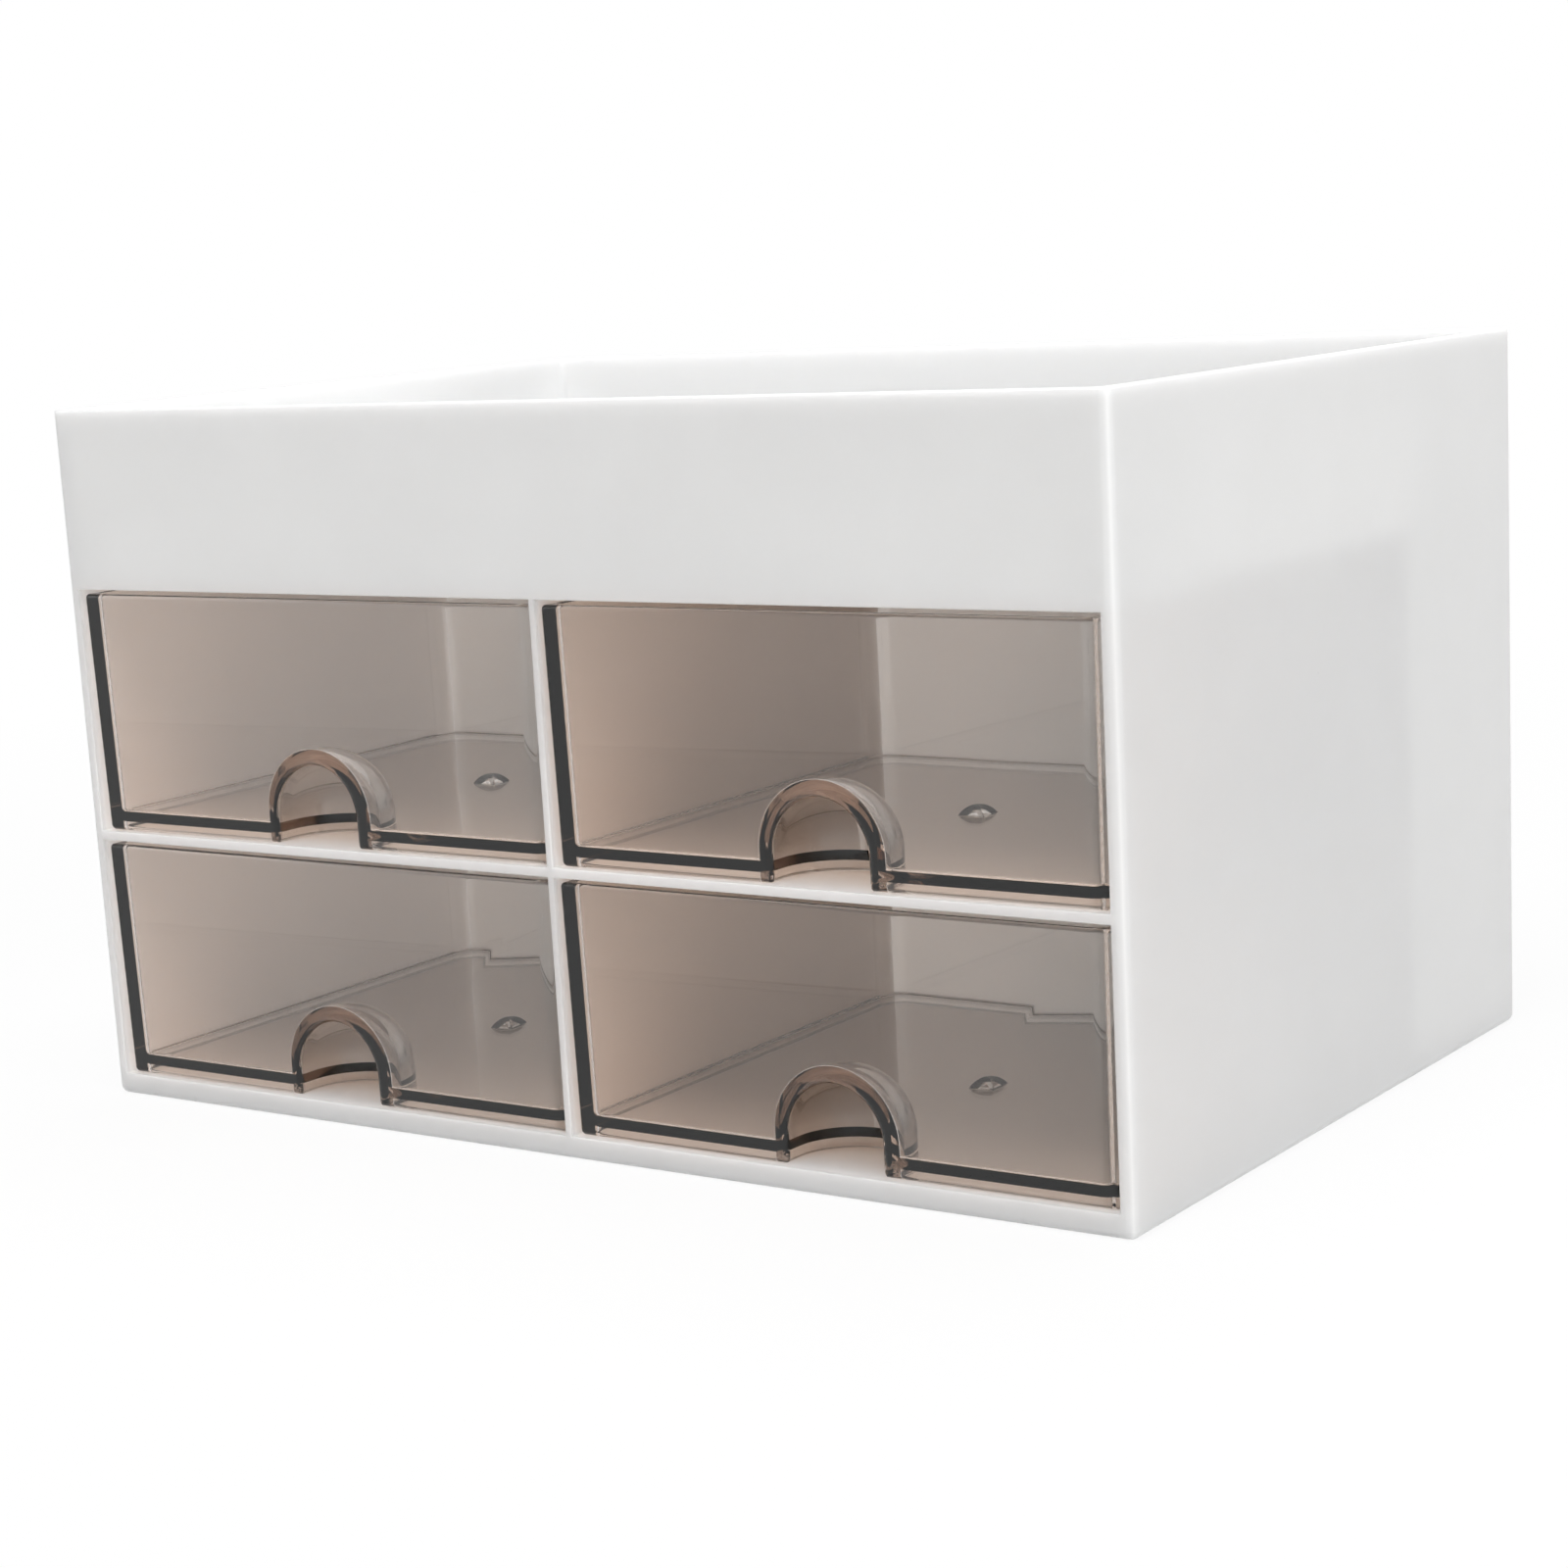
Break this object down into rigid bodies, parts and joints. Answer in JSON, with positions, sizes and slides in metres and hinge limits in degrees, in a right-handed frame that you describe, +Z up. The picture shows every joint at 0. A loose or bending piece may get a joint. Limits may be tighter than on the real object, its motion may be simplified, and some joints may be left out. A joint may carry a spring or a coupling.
{
  "type": "desktop drawer organizer",
  "caption": "Free-standing desktop organizer: white cabinet with an open top tray, a rear well and slide-out smoked clear drawers with finger scoops",
  "frame": {"origin": "middle of the underside of the cabinet, on the surface that it stands on", "axes": "+X to the right when facing the drawers, +Y to the rear, +Z up; drawers open towards -Y"},
  "size_m": [0.255, 0.175, 0.15],
  "materials": {
    "white_plastic": "satin-gloss moulded white plastic, slightly translucent",
    "smoked_plastic": "glossy see-through plastic with a warm grey smoke tint"
  },
  "bodies": {
    "cabinet": {"cabinet": "white_plastic"},
    "drawer_lower_left": {"drawer_lower_left": "smoked_plastic"},
    "drawer_lower_right": {"drawer_lower_right": "smoked_plastic"},
    "drawer_upper_left": {"drawer_upper_left": "smoked_plastic"},
    "drawer_upper_right": {"drawer_upper_right": "smoked_plastic"}
  },
  "joints": [
    {"name": "drawer_lower_left_slide", "type": "slide", "parent": "cabinet", "child": "drawer_lower_left", "axis": [0, -1, 0], "range_m": [0, 0.1]},
    {"name": "drawer_lower_right_slide", "type": "slide", "parent": "cabinet", "child": "drawer_lower_right", "axis": [0, -1, 0], "range_m": [0, 0.1]},
    {"name": "drawer_upper_left_slide", "type": "slide", "parent": "cabinet", "child": "drawer_upper_left", "axis": [0, -1, 0], "range_m": [0, 0.1]},
    {"name": "drawer_upper_right_slide", "type": "slide", "parent": "cabinet", "child": "drawer_upper_right", "axis": [0, -1, 0], "range_m": [0, 0.1]}
  ]
}
